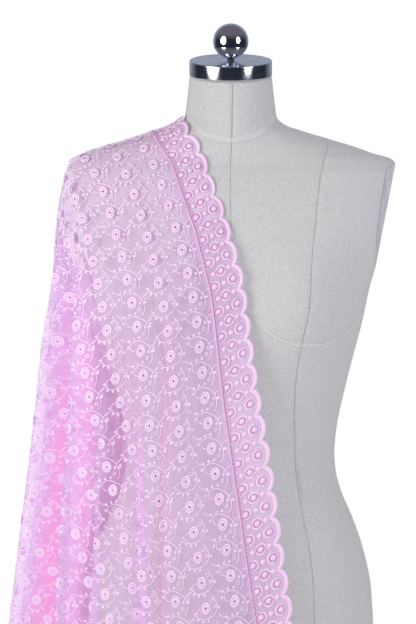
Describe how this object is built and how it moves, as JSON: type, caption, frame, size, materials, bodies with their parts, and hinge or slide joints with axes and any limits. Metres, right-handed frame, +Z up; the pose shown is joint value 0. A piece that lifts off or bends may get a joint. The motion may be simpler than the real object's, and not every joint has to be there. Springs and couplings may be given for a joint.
{
  "type": "dupatta stole on dress form",
  "caption": "Rectangular dupatta stole with a scalloped lace border, draped over one shoulder of a limbless dress form on a round-based stand.",
  "frame": {"origin": "centre of the flat underside of the stand's round base, on the axis of its pole", "axes": "+Z up along the pole; -Y is the front of the dress form; the stole lies over the shoulder on the -X side"},
  "size_m": [0.4868, 0.33, 1.5478],
  "materials": {
    "embroidered_georgette": "sheer, all-over embroidered",
    "scalloped_lace": "satin-stitched scalloped lace",
    "linen_cover": "plain woven linen, matt",
    "polished_steel": "mirror polished",
    "dark_painted_metal": "satin"
  },
  "bodies": {
    "root": {"panel_front": "embroidered_georgette", "panel_back": "embroidered_georgette", "border_front": "scalloped_lace", "border_back": "scalloped_lace", "torso": "linen_cover", "bottom_plate": "dark_painted_metal", "base": "dark_painted_metal", "pole": "polished_steel", "neck_cap": "polished_steel", "finial_stem": "dark_painted_metal", "finial_ball": "polished_steel"}
  },
  "joints": []
}
